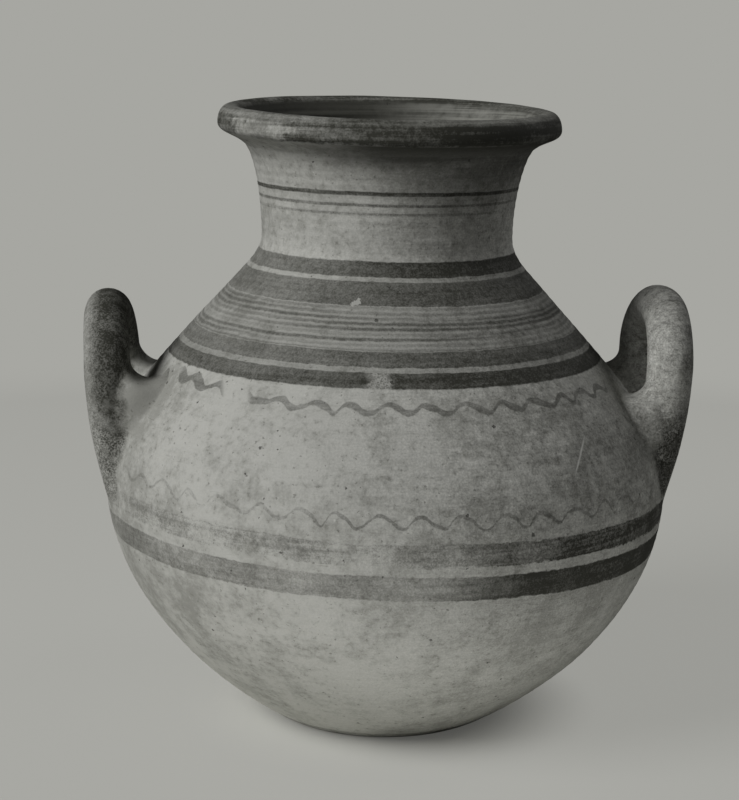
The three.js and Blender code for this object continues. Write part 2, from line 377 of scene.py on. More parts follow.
def end_finish(material, recipe, colour, skin):
    """Feeds the matt clay shader of a material, with the roughness and relief of its skin."""
    shader = material.node_tree.nodes["Principled BSDF"]
    relief = {"Height": skin["Height"], "Strength": BUMP_STRENGTH, "Distance": BUMP_DEPTH}
    bump = recipe.add("ShaderNodeBump", relief)
    recipe.feed(shader.inputs["Base Color"], colour)
    recipe.feed(shader.inputs["Roughness"], skin["Roughness"])
    recipe.feed(shader.inputs["Normal"], bump.outputs[0])
    shader.inputs["Specular IOR Level"].default_value = SHEEN_LEVEL


girth = at(GIRTH_RADIUS, GIRTH_HEIGHT)
root = at(ROOT_RADIUS, ROOT_HEIGHT)
waist = at(WAIST_RADIUS, WAIST_HEIGHT)
template = [
    *drawn(at(BASE_RADIUS, 0), BASE_FLARE, GIRTH_BELOW, girth, BOWL_POINTS),
    *drawn(girth, GIRTH_ABOVE, SHOULDER_END, root, SHOULDER_POINTS)[1:],
    *drawn(root, ROOT_FILLET, WAIST_BELOW, waist, ROOT_POINTS)[1:],
    *drawn(waist, WAIST_ABOVE, NECK_FLARE, at(SEAT_RADIUS, SEAT_HEIGHT), NECK_POINTS)[1:],
]
outside = set_in(template, wheel_mark)
base_edge = BASE_EDGE * MM
foot_inside = crossing(template, base_edge).x / MM - FOOT_WIDTH
edge = between(outside, BASE_ROUNDING * MM, base_edge)
rounding = [at(BASE_RADIUS - BASE_ROUNDING, 0), at(BASE_RADIUS, BASE_ROUNDING / 4)]
under = [at((BASE_RADIUS - BASE_ROUNDING) * ring / FLOOR_RINGS, 0) for ring in range(FLOOR_RINGS)]
floor_top = [at(foot_inside * ring / FLOOR_RINGS, FLOOR) for ring in range(FLOOR_RINGS, -1, -1)]
base_disc = turn_on_wheel(
    "base_clay_disc", [*under, *rounding, *edge, at(foot_inside, BASE_EDGE), *floor_top]
)

material, mix, place, _ = start_finish("Rubbed bare clay")
inputs = {"Place": place, "Pale": BARE_CLAY, "Stain": BARE_STAIN, "Dirt": BARE_DIRT}
skin = mix.use(weathered_slip, inputs)
end_finish(material, mix, skin["Colour"], skin)
set_on(base_disc, "base_disc", material)


# Lower bowl. Thrown clay from the base to the girth, under a pale slip, with two broad belts
# painted while it turned. Its foot stands on the base disc, and its top inside the shoulder.

WALL = 7
GIRTH_JOIN = 152
LAP_HEIGHT = 8
LAP_DEPTH = 3.5
THROWING_RING = 0.45
THROWING_PITCH = 8.7
INSIDE_SKIP = 3
PALE_SLIP = (0.47, 0.47, 0.438, 1)
SLIP_STAIN = (0.23, 0.23, 0.207, 1)
DARK_PAINT = (0.036, 0.036, 0.028, 1)
# the first inner clay colour below is painted shade, the second the same clay where lit
INSIDE_SHADE = (0.055, 0.055, 0.046, 1)
INSIDE_PALE = (0.25, 0.25, 0.225, 1)
RING_CLAY = (0.03, 0.03, 0.024, 1)
RING_STRETCH = (6, 6, 420)
SMEARS = (
    ((-0.140, -0.085, 0.100), 0.065),
    ((-0.155, -0.070, 0.160), 0.050),
    ((0.085, -0.130, 0.100), 0.060),
    ((0.075, -0.140, 0.190), 0.085),
    ((0.140, -0.085, 0.160), 0.060),
    ((-0.135, -0.060, 0.205), 0.040),
    ((-0.150, -0.050, 0.215), 0.032),
)
BELT_TILT = 0.0332
BELT_EDGE = 0.45 * MM
BELT_FRAY = 1.8 * MM
UPPER_BELT = (136.4, 149.2)
LOWER_BELT = (116.3, 130.6)
GIRTH_WAVE = (161 * MM, 3.2, 47, 2.0, 0.4)
WAVE_EDGE = 0.4 * MM
WAVE_ENDS = (0.93, 0.88)


def throwing_ring(point):
    """Depth of the wall, with the fingers' rings on its inner side."""
    return (WALL + THROWING_RING * math.sin(FULL_TURN * point.z / (THROWING_PITCH * MM))) * MM


inside = set_in(template, throwing_ring)[::INSIDE_SKIP]
girth_join = GIRTH_JOIN * MM
girth_lap = (GIRTH_JOIN + LAP_HEIGHT) * MM
girth_tongue = crossing(template, girth_join).x / MM - LAP_DEPTH
foot_line = [point for point in between(inside, base_edge, girth_lap) if point.x > foot_inside * MM]
lower_body = turn_on_wheel(
    "lower_bowl",
    [
        *between(outside, base_edge, girth_join),
        at(girth_tongue, GIRTH_JOIN),
        at(girth_tongue, GIRTH_JOIN + LAP_HEIGHT),
        *reversed(foot_line),
        at(foot_inside, BASE_EDGE),
        crossing(outside, base_edge),
    ],
)

# thin paint: it breaks up in brush streaks, patches and grains
BRUSH_STRETCH = (16, 16, 460)
PAINT_PATCH = (50.0, 5.0, 0.65)
PAINT_SPECK = (380.0, 3.0, 0.65)
PAINT_GRAIN = (1000.0, 2.0, 0.6)
SLOW_WOBBLE = 2.2 * MM
QUICK_WOBBLE = 2.6 * MM

paint_film, mix, given, made = shared_effect(
    "Paint film", {"Place": "vector"}, {"Film": "value", "Speckle": "value", "Wobble": "value"}
)
place = given["Place"]
streak = mix.noise(mix.stretched(place, BRUSH_STRETCH), 1.0, 4.0, 0.6)
patch = mix.noise(place, *PAINT_PATCH)
coarse = mix.noise(place, *PAINT_SPECK)
grain = mix.noise(place, *PAINT_GRAIN)
film = mix.weighed((streak, 0.48), (patch, 0.37), (coarse, 0.15))
speckle = mix.weighed((coarse, 0.35), (grain, 0.65))
slow = mix.about_zero(mix.noise(place, 24.0))
quick = mix.about_zero(mix.noise(place, 190.0, 4.0, 0.6))
mix.feed(made["Film"], mix.ramp(film, 0.3, 0.7))
mix.feed(made["Speckle"], mix.ramp(speckle, 0.36, 0.64))
mix.feed(made["Wobble"], mix.weighed((slow, SLOW_WOBBLE), (quick, QUICK_WOBBLE)))


def laid_on(mix, worn, thick, film, speckle):
    """Cover of a coat of paint, from its thickness and how much streaks and specks thin it."""
    streaks = mix.times(mix.about_zero(worn["Film"]), film)
    specks = mix.times(mix.about_zero(worn["Speckle"]), speckle)
    cover = mix.plus(streaks, specks, thick)
    return mix.add("ShaderNodeClamp", {"Value": cover}).outputs[0]


def band(mix, level, bottom, top):
    """Mask of a band between two heights, in millimetres."""
    rise = mix.ramp(level, bottom * MM - BELT_EDGE, bottom * MM + BELT_EDGE)
    return mix.times(rise, mix.ramp(level, top * MM + BELT_EDGE, top * MM - BELT_EDGE))


def wavy_line(mix, place, level, centre, swing, waves, width, phase):
    """Mask of a line that a brush drew up and down as the jar turned."""
    x, y, _ = mix.parts(place)
    flat_place = mix.add("ShaderNodeCombineXYZ", {0: x, 1: y}).outputs[0]
    around = mix.vector("NORMALIZE", flat_place)[0]
    drift = mix.noise(around, 4.2, 2.0)
    hand = mix.noise(around, 11.0, 2.0)
    angle = mix.sum("ARCTAN2", y, x)
    turn = mix.plus(mix.weighed((angle, float(waves)), (drift, 6.0)), phase)
    bend = mix.sum("SINE", mix.plus(mix.times(turn, 2.0), 0.7))
    stroke = mix.plus(mix.sum("SINE", turn), mix.times(bend, 0.08))
    rise = mix.times(stroke, mix.ramp(hand, 0.25, 0.75, 0.65 * swing * MM, 1.35 * swing * MM))
    off = mix.sum("ABSOLUTE", mix.sum("SUBTRACT", level, mix.plus(rise, centre)))
    press = mix.times(mix.sum("COSINE", turn), -0.28)
    press = mix.plus(press, mix.ramp(hand, 0.3, 0.7, 1.15, 0.8))
    half = mix.times(press, width, 0.5 * MM)
    line = mix.ramp(mix.sum("SUBTRACT", off, half), WAVE_EDGE, -WAVE_EDGE)
    aside = mix.sum("ABSOLUTE", mix.parts(around)[0])
    return mix.times(line, mix.ramp(aside, *WAVE_ENDS))


belly_paint, mix, given, made = shared_effect(
    "Belly paint", {"Place": "vector"}, {"Mask": "value"}
)
place = given["Place"]
x, _, z = mix.parts(place)
worn = mix.use(paint_film, {"Place": place})
level = mix.plus(z, mix.times(x, BELT_TILT), worn["Wobble"])
frayed = mix.plus(level, mix.times(mix.about_zero(worn["Film"]), BELT_FRAY))
patchy = mix.noise(place, 21.0, 3.0)
darker = mix.ramp(x, 0.0, 0.10, 0.0, 0.72)
thick = mix.plus(mix.ramp(patchy, 0.36, 0.64, -0.05, 0.25), darker)
upper_belt = mix.times(laid_on(mix, worn, thick, 0.55, 0.34), band(mix, frayed, *UPPER_BELT))
thick = mix.plus(mix.ramp(patchy, 0.64, 0.36, 0.24, 0.48), darker)
lower_belt = mix.times(laid_on(mix, worn, thick, 0.3, 0.24), band(mix, level, *LOWER_BELT))
thick = mix.plus(mix.ramp(x, -0.12, 0.0, 0.2, 0.44), mix.ramp(x, 0.11, 0.15, 0.0, -0.2))
wave = wavy_line(mix, place, level, *GIRTH_WAVE)
wave = mix.times(wave, laid_on(mix, worn, thick, 0.4, 0.2))
mix.feed(made["Mask"], mix.most(upper_belt, lower_belt, wave))

# the inner side of the wall was left bare, ringed by the fingers that threw it. Its clay is
# painted in shade on the left and paler to the right, where the lamp reaches it
inner_side, mix, given, made = shared_effect(
    "Inner side", {"Place": "vector", "Normal": "vector"}, {"Mask": "value", "Colour": "colour"}
)
place = given["Place"]
outwards = mix.vector("NORMALIZE", mix.vector("MULTIPLY", place, (1, 1, 0))[0])[0]
facing = mix.vector("DOT_PRODUCT", outwards, given["Normal"])[1]
rings = mix.noise(mix.stretched(place, RING_STRETCH), 1.0, 3.0, 0.6)
spots = mix.noise(place, 160.0, 4.0, 0.65)
tone = mix.weighed((rings, 0.75), (spots, 0.25))
# painted shade and light inside: dark clay on the left, paler clay to the right
clay = mix.blend(mix.ramp(mix.parts(place)[0], -0.02, 0.07), INSIDE_SHADE, INSIDE_PALE)
mix.feed(made["Mask"], mix.ramp(facing, -0.15, -0.35))
mix.feed(made["Colour"], mix.blend(mix.ramp(tone, 0.36, 0.64), RING_CLAY, clay))


def smear(mix, place, spot, size):
    """How strongly a smear of black grime from handling lies at a place."""
    return mix.ramp(mix.vector("DISTANCE", place, spot)[1], size, size / 4)


handling_dirt, mix, given, made = shared_effect(
    "Handling dirt", {"Place": "vector"}, {"Dirt": "value"}
)
smears = [smear(mix, given["Place"], spot, size) for spot, size in SMEARS]
mix.feed(made["Dirt"], mix.plus(mix.times(mix.plus(*smears), 0.55), 0.38))


def slip_skin(mix, place, dirt=None):
    """The jar's pale slip, darkened by the dirt of long handling unless given a darkening of its
    own (partly painted shade on the neck).
    """
    if dirt is None:
        dirt = mix.use(handling_dirt, {"Place": place})["Dirt"]
    inputs = {"Place": place, "Pale": PALE_SLIP, "Stain": SLIP_STAIN, "Dirt": dirt}
    return mix.use(weathered_slip, inputs)


def bare_inside(mix, place, normal, colour):
    """The colour of a wall, with bare clay on its inner side."""
    bare = mix.use(inner_side, {"Place": place, "Normal": normal})
    return mix.blend(bare["Mask"], colour, bare["Colour"])


material, mix, place, normal = start_finish("Belly slip with belts")
skin = slip_skin(mix, place)
painted = mix.use(belly_paint, {"Place": place})["Mask"]
colour = mix.blend(painted, skin["Colour"], DARK_PAINT)
end_finish(material, mix, bare_inside(mix, place, normal, colour), skin)
set_on(lower_body, "lower_body", material)


# Shoulder. Thrown clay from the girth to the root of the neck, under the same slip, with broad
# bands, a group of fine lines and two wavy lines. It sits over the bowl, and its top stands up
# inside the neck.

NECK_JOIN = 288
BAND_TILT = 0.0131
BAND_WOBBLE = 0.6
BAND_ACROSS = (-0.12, 0.05)
BANDS = (
    (280.7, 289.2, 0.56, 0.97),
    (265.9, 278.5, 0.60, 0.84),
    (235.8, 243.8, 0.66, 0.82),
    (225.7, 233.5, 0.78, 0.94),
)
WASHED_GAPS = ((278.2, 280.9, 0.08, 0.34), (233.2, 236.0, 0.36, 0.28))
BAND_BREAK = (-0.0215, -0.0145, -0.0030, -0.0100)
BREAK_BELOW = (0.2345, 0.233)
BREAK_FRAY = 0.022
FINE_LINES = (243.8, 265.9)
LINE_PITCH = 2.6
LINE_STRETCH = (3, 3, 300)
WAVE_CENTRE = (-0.130, -0.050, 220.5 * MM, 216 * MM)
WAVE_WIDTH = (-0.115, -0.05, 4.6, 3.0)
WAVE_GAP = (-0.100, -0.096, -0.081, -0.085)
CHIP_PLACE = (-0.0228, 0.268)
CHIP_SIZE = (0.0032, 0.0015)
CHIP_SLOPE = 0.35
SCRATCH_START = (0.097, 0.177)
SCRATCH_END = (0.1054, 0.1958)
SCRATCH_WIDTH = (0.9 * MM, 0.25 * MM)
SCRATCH_FADE = 4 * MM
SCRATCH_COVER = 0.8
FRESH_CLAY = (0.44, 0.44, 0.41, 1)
SCRATCHED_CLAY = (0.72, 0.72, 0.68, 1)

neck_join = NECK_JOIN * MM
neck_lap = (NECK_JOIN + LAP_HEIGHT) * MM
neck_tongue = crossing(template, neck_join).x / MM - LAP_DEPTH
upper_body = turn_on_wheel(
    "shoulder",
    [
        *between(outside, girth_join, neck_join),
        at(neck_tongue, NECK_JOIN),
        at(neck_tongue, NECK_JOIN + LAP_HEIGHT),
        *reversed(between(inside, girth_lap, neck_lap)),
        at(girth_tongue, GIRTH_JOIN + LAP_HEIGHT),
        at(girth_tongue, GIRTH_JOIN),
        crossing(outside, girth_join),
    ],
)

shoulder_paint, mix, given, made = shared_effect(
    "Shoulder paint", {"Place": "vector"}, {"Mask": "value"}
)
place = given["Place"]
x, y, z = mix.parts(place)
worn = mix.use(paint_film, {"Place": place})
level = mix.plus(z, mix.times(x, BAND_TILT), mix.times(worn["Wobble"], BAND_WOBBLE))
coats = []
for bottom, top, left, right in BANDS:
    thick = mix.ramp(x, *BAND_ACROSS, left, right)
    coats.append(mix.times(band(mix, level, bottom, top), laid_on(mix, worn, thick, 0.24, 0.2)))
frayed = mix.about_zero(mix.noise(place, 160.0, 4.0, 0.6))
frayed = mix.plus(x, mix.times(frayed, BREAK_FRAY))
broken_off = mix.times(
    mix.ramp(frayed, *BAND_BREAK[:2]),
    mix.ramp(frayed, *BAND_BREAK[2:]),
    mix.ramp(y, 0.0, -0.05),
    mix.ramp(level, *BREAK_BELOW),
    mix.ramp(worn["Speckle"], 0.1, 0.7, 0.2, 0.75),
)
coats = [mix.times(mix.most(*coats), mix.rest_of(broken_off))]
for bottom, top, left, right in WASHED_GAPS:
    thin = laid_on(mix, worn, mix.ramp(x, *BAND_ACROSS, left, right), 0.3, 0.1)
    coats.append(mix.times(band(mix, level, bottom, top), thin))
turn = mix.weighed((level, FULL_TURN / (LINE_PITCH * MM)), (mix.noise(place, 20.0), 5.0))
each = mix.noise(mix.stretched(place, LINE_STRETCH), 1.0, 1.0)
lines = mix.times(
    mix.ramp(mix.sum("SINE", turn), -0.9, 0.5, 0.52, 0.88),
    mix.ramp(each, 0.3, 0.7, 0.55, 1.05),
    band(mix, level, *FINE_LINES),
    laid_on(mix, worn, mix.ramp(x, -0.14, 0.05, 0.68, 0.92), 0.3, 0.2),
)
centre = mix.ramp(x, *WAVE_CENTRE)
wave = wavy_line(mix, place, level, centre, 1.9, 41, mix.ramp(x, *WAVE_WIDTH), 1.9)
gap = mix.times(mix.ramp(x, *WAVE_GAP[:2]), mix.ramp(x, *WAVE_GAP[2:]))
wave = mix.times(wave, laid_on(mix, worn, 0.52, 0.4, 0.15), mix.rest_of(gap))
mix.feed(made["Mask"], mix.most(*coats, lines, wave))

material, mix, place, normal = start_finish("Shoulder slip with bands")
skin = slip_skin(mix, place)
painted = mix.most(
    mix.use(shoulder_paint, {"Place": place})["Mask"],
    mix.use(belly_paint, {"Place": place})["Mask"],
)
colour = mix.blend(painted, skin["Colour"], DARK_PAINT)
x, y, z = mix.parts(place)
front = mix.ramp(y, 0.0, -0.01)
along = mix.plus(x, -CHIP_PLACE[0])
rise = mix.plus(z, -CHIP_PLACE[1], mix.times(along, -CHIP_SLOPE))
wide = mix.times(along, 1 / CHIP_SIZE[0])
tall = mix.times(rise, 1 / CHIP_SIZE[1])
ragged = mix.ramp(mix.noise(place, 500.0, 3.0), 0.3, 0.7, -0.7, 0.7)
spread = mix.plus(mix.times(wide, wide), mix.times(tall, tall), ragged)
chip = mix.ramp(spread, 1.25, 0.75, 0.0, 0.85)
slope = (SCRATCH_END[0] - SCRATCH_START[0]) / (SCRATCH_END[1] - SCRATCH_START[1])
aside = mix.plus(x, mix.times(z, -slope), slope * SCRATCH_START[1] - SCRATCH_START[0])
scored = mix.times(
    mix.ramp(mix.sum("ABSOLUTE", aside), *SCRATCH_WIDTH),
    mix.ramp(z, SCRATCH_START[1], SCRATCH_START[1] + SCRATCH_FADE),
    mix.ramp(z, SCRATCH_END[1], SCRATCH_END[1] - SCRATCH_FADE),
    SCRATCH_COVER,
)
colour = mix.blend(mix.times(chip, front), colour, FRESH_CLAY)
colour = mix.blend(mix.times(scored, front), colour, SCRATCHED_CLAY)
end_finish(material, mix, bare_inside(mix, place, normal, colour), skin)
set_on(upper_body, "upper_body", material)


# Neck. A short flared collar of thrown clay, slipped outside, with three thin painted lines.
# Painted shade, with some stain, darkens it under the lip and towards its right side. The throwing
# rings show on its inner side. A tongue round its top holds the lip.

TONGUE_HEIGHT = 5
TONGUE_WIDTH = 3.2
TONGUE_INSET = 3.6
NECK_WOBBLE = 0.35
NECK_LINES = (
    (326.4, 328.8, 0.86, 0.3, 0.2),
    (320.2, 321.9, 0.62, 0.5, 0.3),
    (315.2, 316.8, 0.34, 0.5, 0.3),
)
# painted shade on the upper neck: how it rises, how it spreads to the right, and how it tilts under
# the lip
NECK_SHADE_RISE = (0.300, 0.354)
NECK_SHADE_SPREAD = (-0.022, 0.075, 0.03, 0.78)
NECK_SHADE_TILT = (0.0175, -0.034)
LIP_SHADE_RISE = (0.339, 0.3525)
LIP_SHADE_SPREAD = (-0.072, -0.005, 0.0, 0.72)

seat = SEAT_HEIGHT * MM
throat_radius = crossing(set_in(template, lambda point: WALL * MM), seat).x / MM
tongue_inside = throat_radius + TONGUE_INSET
tongue_outside = tongue_inside + TONGUE_WIDTH
wall_inside = set_in(template, throwing_ring)
neck_inside = [point for point in wall_inside if neck_lap < point.z < seat - LEAST_STEP]
neck = turn_on_wheel(
    "neck_collar",
    [
        *between(outside, neck_join, seat),
        at(tongue_outside, SEAT_HEIGHT),
        at(tongue_outside, SEAT_HEIGHT + TONGUE_HEIGHT),
        at(tongue_inside, SEAT_HEIGHT + TONGUE_HEIGHT),
        at(tongue_inside, SEAT_HEIGHT),
        at(throat_radius, SEAT_HEIGHT),
        *reversed(neck_inside),
        at(neck_tongue, NECK_JOIN + LAP_HEIGHT),
        at(neck_tongue, NECK_JOIN),
        crossing(outside, neck_join),
    ],
)

material, mix, place, normal = start_finish("Neck slip with lines")
x, y, z = mix.parts(place)
# darker towards the top and the right: partly a stain, partly painted shade under the lip
dirt = mix.times(mix.ramp(z, 0.315, 0.350), mix.ramp(x, -0.05, 0.05, 0.3, 0.8))
skin = slip_skin(mix, place, mix.plus(dirt, 0.4))
worn = mix.use(paint_film, {"Place": place})
level = mix.plus(z, mix.times(x, BAND_TILT), mix.times(worn["Wobble"], NECK_WOBBLE))
coats = [mix.use(shoulder_paint, {"Place": place})["Mask"]]
for bottom, top, *coat in NECK_LINES:
    coats.append(mix.times(band(mix, level, bottom, top), laid_on(mix, worn, *coat)))
# painted shade under the lip and on the right side, laid on in the dark paint colour
neck_shade = mix.times(mix.ramp(z, *NECK_SHADE_RISE), mix.ramp(x, *NECK_SHADE_SPREAD))
flat = mix.plus(z, mix.times(y, NECK_SHADE_TILT[1]), mix.times(x, NECK_SHADE_TILT[0]))
under_lip = mix.times(mix.ramp(flat, *LIP_SHADE_RISE), mix.ramp(x, *LIP_SHADE_SPREAD))
neck_shade = mix.times(mix.most(neck_shade, under_lip), mix.ramp(worn["Film"], 0.0, 1.0, 0.85, 1.15))
colour = mix.blend(mix.most(*coats, neck_shade), skin["Colour"], DARK_PAINT)
end_finish(material, mix, bare_inside(mix, place, normal, colour), skin)
set_on(neck, "neck", material)


# Lip. A thick rim of clay on top of the neck. It carries on the neck's flare, stands up to a blunt
# face and falls into the mouth. It is painted dark, and the paint is rubbed through to the slip
# along the crown and most of all at the front left. The crown is left paler towards the right,
# partly as painted light where it faces the lamp, and the underside is darkened on the right as
# painted shade.

LIP_RADIUS = 103.8
LIP_BELLY = SEAT_HEIGHT + 11
LIP_CROWN = SEAT_HEIGHT + 21.6
LIP_CROWN_RADIUS = 95.5
MOUTH_RADIUS = 86.4
MOUTH_HEIGHT = SEAT_HEIGHT + 15
LIP_UNDER = (40, 10)
UPWARDS = (90, 5)
INWARDS = (180, 6)
DOWNWARDS = (238, 4)
THROAT = (258, 8)
LIP_POINTS = 22
THROAT_POINTS = 26
THROAT_PITCH = 5.6
LIP_TILT = (0.0175, -0.0385)
LIP_PAINT_EDGE = (0.3582, 0.3600)
MOUTH_PAINT_EDGE = (0.3722, 0.3695)
RUBBED_PLACE = (-0.078, -0.066)
RUBBED_EDGE = (0.027, 0.015)
RUBBED_RISE = (0.3705, 0.3680, 0.1, 1.0)
RUBBED_FRAY = 0.024
CROWN_RISE = (0.3690, 0.3725)
# painted shade under the rim: where it stops and how it rises
UNDERSIDE_SHADE_EDGE = (0.3605, 0.3590)
UNDERSIDE_SHADE_RISE = (0.3525, 0.3590, 0.72, 0.95)


def throat_ring(point):
    """Depth of the fingers' rings in the mouth, which die out towards its edge and the seat."""
    climb = (point.z / MM - SEAT_HEIGHT) / (MOUTH_HEIGHT - SEAT_HEIGHT)
    middle = math.sin(math.pi * min(max(climb, 0), 1))
    return middle * THROWING_RING * MM * math.sin(FULL_TURN * point.z / (THROAT_PITCH * MM))


lip_belly = at(LIP_RADIUS, LIP_BELLY)
lip_crown = at(LIP_CROWN_RADIUS, LIP_CROWN)
mouth = at(MOUTH_RADIUS, MOUTH_HEIGHT)
throat = drawn(mouth, DOWNWARDS, THROAT, at(throat_radius, SEAT_HEIGHT), THROAT_POINTS)
lip = turn_on_wheel(
    "rolled_lip",
    [
        *drawn(at(SEAT_RADIUS, SEAT_HEIGHT), LIP_UNDER, UPWARDS, lip_belly, LIP_POINTS),
        *drawn(lip_belly, UPWARDS, INWARDS, lip_crown, LIP_POINTS)[1:],
        *drawn(lip_crown, INWARDS, DOWNWARDS, mouth, LIP_POINTS)[1:],
        *set_in(throat, throat_ring)[1:],
        at(tongue_inside, SEAT_HEIGHT),
        at(tongue_inside, SEAT_HEIGHT + TONGUE_HEIGHT),
        at(tongue_outside, SEAT_HEIGHT + TONGUE_HEIGHT),
        at(tongue_outside, SEAT_HEIGHT),
        at(SEAT_RADIUS, SEAT_HEIGHT),
    ],
)

material, mix, place, normal = start_finish("Worn lip paint")
x, y, z = mix.parts(place)
# the slip of the lip darkens towards the right
skin = slip_skin(mix, place, mix.ramp(x, -0.05, 0.05, 0.7, 1.9))
worn = mix.use(paint_film, {"Place": place})
flat = mix.plus(z, mix.times(y, LIP_TILT[1]), mix.times(x, LIP_TILT[0]))
away = mix.distance(mix.plus(x, -RUBBED_PLACE[0]), mix.plus(y, -RUBBED_PLACE[1]))
away = mix.plus(away, mix.times(mix.about_zero(worn["Film"]), RUBBED_FRAY))
rubbed = mix.times(mix.ramp(away, *RUBBED_EDGE), mix.ramp(flat, *RUBBED_RISE))
# the crown's paint thins towards the right: partly wear, partly painted light where the crown faces
# the lamp
crown = mix.times(
    mix.ramp(flat, *CROWN_RISE),
    mix.ramp(x, -0.06, 0.06, -0.06, -0.46),
    mix.ramp(y, 0.09, 0.0),
)
thick = mix.plus(mix.times(rubbed, -0.44), mix.ramp(x, -0.11, 0.03, 0.74, 0.95), crown)
level = mix.plus(flat, mix.times(worn["Wobble"], 1.2))
painted = mix.times(laid_on(mix, worn, thick, 0.72, 0.22), mix.ramp(level, *LIP_PAINT_EDGE))
# painted shade: the dark paint colour laid on the rim's underside, from the middle to the right
lip_underside_shade = mix.times(
    mix.ramp(flat, *UNDERSIDE_SHADE_EDGE), mix.ramp(x, -0.072, -0.005), mix.ramp(flat, *UNDERSIDE_SHADE_RISE)
)
colour = mix.blend(mix.most(painted, lip_underside_shade), skin["Colour"], DARK_PAINT)
bare = mix.use(inner_side, {"Place": place, "Normal": normal})
deep = mix.times(bare["Mask"], mix.ramp(flat, *MOUTH_PAINT_EDGE))
end_finish(material, mix, mix.blend(deep, colour, bare["Colour"]), skin)
set_on(lip, "lip", material)


# Loop handles. A round roll of clay bent into an upright loop at each side, its legs pressed on to
# the shoulder and the belly. More clay was worked into the angle behind each leg, hollowed with a
# The dark paint along the roll has rubbed thin. Its cover follows the way the roll faces, heavier
# on faces turned from the lamp: partly painted shade.

ROLL_RADIUS = 13.6
LEG_SPREAD = 45
FOOT_REACH = 148.8
FOOT_HEIGHT = 126
FOOT_LEAN = 10
SPRING_REACH = 167.3
SPRING_HEIGHT = 220
SPRING_LEAN = 1.3
CROWN_REACH = 169.8
CROWN_HEIGHT = 250.5
LEG_RISE = 33.8
ARCH_RISE = 16.8
ARCH_SPREAD = 24.9
ROLL_POINTS = 24
LINE_POINTS = 48
LEG_POINTS = 96
ROLL_ROUND = 10
LUTE_SIZE = (44, 34, 52)
FINGER_RADIUS = 11
FINGER_LENGTH = 70
PATCH_LOW = 92
PATCH_HIGH = 262
PATCH_UNDER = 0.16
PATCH_DEPTH = 12
PATCH_REACH = 112
VOXEL = 1.15
SMOOTHING = 0.5
SMOOTHING_ROUNDS = 110
BLEND_ON_WALL = 20
BLEND_ON_ROLL = 13
BLEND_ON_LUMP = 1.5
BED_SIZE = (44, 24, 60)
LEG_BOW = 12.8
RIGHT_SET = (5.5, 0)
RIGHT_LUTES = ((190.4, 218.5), (194.1, 222.2))
LEFT_SET = (-4.2, 14)
LEFT_LUTES = ((199, 222.3), (194.5, 217.8))


def only_select(*pieces):
    """Selects these pieces alone, the first of them active."""
    bpy.ops.object.select_all(action="DESELECT")
    for piece in pieces:
        piece.select_set(True)
    bpy.context.view_layer.objects.active = pieces[0]


def finish_with(piece, kind, **settings):
    """Sets a modifier on a piece and applies it."""
    only_select(piece)
    bpy.ops.object.modifier_add(type=kind)
    modifier = piece.modifiers[-1]
    for name, value in settings.items():
        setattr(modifier, name, value)
    bpy.ops.object.modifier_apply(modifier=modifier.name)


def cut(piece, tool, operation="DIFFERENCE"):
    """Cuts a piece with another."""
    finish_with(piece, "BOOLEAN", operation=operation, solver="MANIFOLD", object=tool)


def copy_of(piece, name):
    """A copy of a piece with a mesh of its own."""
    only_select(piece)
    bpy.ops.object.duplicate()
    bpy.context.object.name = name
    return bpy.context.object


def put_away(*pieces):
    """Removes the shapes that only served to make others."""
    for piece in pieces:
        bpy.data.objects.remove(piece)


def loop_knots(side, lift, droop):
    """The roll's centre line: each knot with the ways in and out. Its back may droop."""

    def spot(reach, across, height):
        return Vector((side * reach * MM, side * across * MM, (height + lift) * MM))

    crown = (
        spot(CROWN_REACH, -ARCH_SPREAD, CROWN_HEIGHT),
        spot(CROWN_REACH, 0, CROWN_HEIGHT),
        spot(CROWN_REACH, ARCH_SPREAD, CROWN_HEIGHT),
    )
    legs = []
    for across in (-LEG_SPREAD, LEG_SPREAD):
        high = SPRING_HEIGHT - (droop if side * across > 0 else 0)
        foot = (
            spot(FOOT_REACH - FOOT_LEAN, across, FOOT_HEIGHT - LEG_RISE),
            spot(FOOT_REACH, across, FOOT_HEIGHT),
            spot(FOOT_REACH + FOOT_LEAN, across, FOOT_HEIGHT + LEG_RISE),
        )
        spring = (
            spot(SPRING_REACH - SPRING_LEAN, across, high - LEG_RISE),
            spot(SPRING_REACH, across, high),
            spot(SPRING_REACH, across, high + ARCH_RISE),
        )
        legs.append((foot, spring))
    (foot, spring), (last_foot, last_spring) = legs
    return [foot, spring, crown, last_spring[::-1], last_foot[::-1]]


def bend_roll(name, knots, radius):
    """A roll of clay along the knots, as a closed mesh."""
    bpy.ops.object.select_all(action="DESELECT")
    bpy.ops.curve.primitive_bezier_curve_add()
    roll = bpy.context.object
    roll.name = name
    points = roll.data.splines[0].bezier_points
    points.add(len(knots) - len(points))
    for point, (way_in, spot, way_out) in zip(points, knots):
        point.handle_left_type = "FREE"
        point.handle_right_type = "FREE"
        point.co = spot
        point.handle_left = way_in
        point.handle_right = way_out
    roll.data.dimensions = "3D"
    roll.data.resolution_u = ROLL_POINTS
    roll.data.bevel_depth = radius * MM
    roll.data.bevel_resolution = ROLL_ROUND
    roll.data.use_fill_caps = True
    bpy.ops.object.convert(target="MESH")
    roll = bpy.context.object
    bpy.ops.object.mode_set(mode="EDIT")
    bpy.ops.mesh.select_all(action="SELECT")
    bpy.ops.mesh.remove_doubles(threshold=DOUBLES)
    bpy.ops.mesh.normals_make_consistent(inside=False)
    bpy.ops.object.mode_set(mode="OBJECT")
    return roll


def share_of(length, whole):
    """How much of a whole a length is, from nought to one."""
    return min(max(length / whole, 0), 1)


def wall_reach(height):
    """How far out the wall lies in the plane of a leg."""
    return math.sqrt(crossing(template, height).x ** 2 - (LEG_SPREAD * MM) ** 2)


